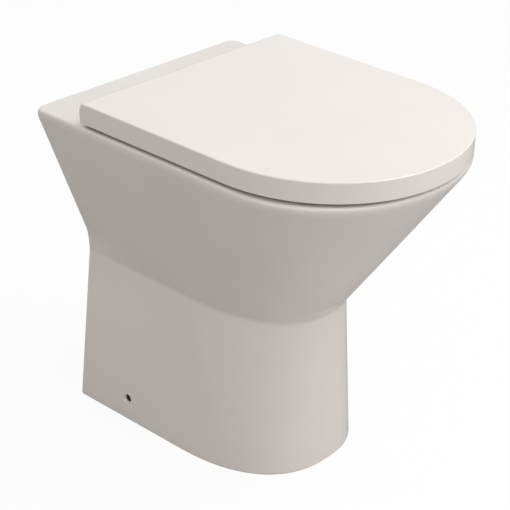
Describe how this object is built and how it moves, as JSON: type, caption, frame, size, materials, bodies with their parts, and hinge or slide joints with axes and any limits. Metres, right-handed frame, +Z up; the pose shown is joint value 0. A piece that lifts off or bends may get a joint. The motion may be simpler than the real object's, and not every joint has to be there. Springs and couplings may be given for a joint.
{
  "type": "back to wall toilet",
  "caption": "Floor-standing back to wall toilet: a flared glazed china pan with a rear outlet spigot and flush inlet, and a D-shaped soft-close seat and wrap-over lid that lift off their posts.",
  "frame": {"origin": "on the floor, at the middle of the toilet's footprint box", "axes": "+Z up, +Y towards the wall behind the toilet, -Y towards the person in front of it, +X to the right of someone who faces the wall"},
  "size_m": [0.36, 0.505, 0.481],
  "materials": {
    "glazed_china": "gloss",
    "seat_thermoset": "gloss",
    "moulded_plastic": "satin",
    "damper_plastic": "satin",
    "bright_chrome": "polished",
    "stainless_steel": "satin",
    "turned_brass": "satin",
    "buffer_rubber": "matte",
    "sleeve_rubber": "matte"
  },
  "bodies": {
    "pan": {"pan": "glazed_china", "flush_horn": "glazed_china", "hinge_plate_left": "bright_chrome", "hinge_post_left": "bright_chrome", "hinge_stud_left": "stainless_steel", "expanding_sleeve_left": "sleeve_rubber", "cone_nut_left": "turned_brass", "floor_bracket_left": "moulded_plastic", "side_screw_left": "stainless_steel", "screw_sleeve_left": "moulded_plastic", "hinge_plate_right": "bright_chrome", "hinge_post_right": "bright_chrome", "hinge_stud_right": "stainless_steel", "expanding_sleeve_right": "sleeve_rubber", "cone_nut_right": "turned_brass", "floor_bracket_right": "moulded_plastic", "side_screw_right": "stainless_steel", "screw_sleeve_right": "moulded_plastic"},
    "hinge_carriage": {"lid_damper": "damper_plastic", "seat_damper": "damper_plastic", "hinge_block_left": "moulded_plastic", "button_spring_left": "stainless_steel", "hinge_block_right": "moulded_plastic", "button_spring_right": "stainless_steel"},
    "seat": {"seat": "seat_thermoset", "seat_buffers": "buffer_rubber", "seat_hinge_shaft": "stainless_steel"},
    "lid": {"lid": "seat_thermoset", "lid_buffers": "buffer_rubber", "lid_hinge_shaft": "stainless_steel"},
    "release_button_left": {"release_button_left": "moulded_plastic"},
    "release_button_right": {"release_button_right": "moulded_plastic"}
  },
  "joints": [
    {"name": "seat_lift_off", "type": "slide", "parent": "pan", "child": "hinge_carriage", "axis": [0, 0, 1], "range_m": [0, 0.03]},
    {"name": "seat_hinge", "type": "hinge", "parent": "hinge_carriage", "child": "seat", "pos_m": [0, 0.161, 0.4675], "axis": [-1, 0, 0], "range_deg": [0, 95]},
    {"name": "lid_hinge", "type": "hinge", "parent": "seat", "child": "lid", "pos_m": [0, 0.161, 0.4675], "axis": [1, 0, 0], "range_deg": [-100, 0]},
    {"name": "release_press_left", "type": "slide", "parent": "hinge_carriage", "child": "release_button_left", "axis": [0, -1, 0], "range_m": [0, 0.002], "stiffness_N_per_m": 500, "springref_m": -0.004, "deforming": ["button_spring_left"]},
    {"name": "release_press_right", "type": "slide", "parent": "hinge_carriage", "child": "release_button_right", "axis": [0, -1, 0], "range_m": [0, 0.002], "stiffness_N_per_m": 500, "springref_m": -0.004, "deforming": ["button_spring_right"]}
  ]
}
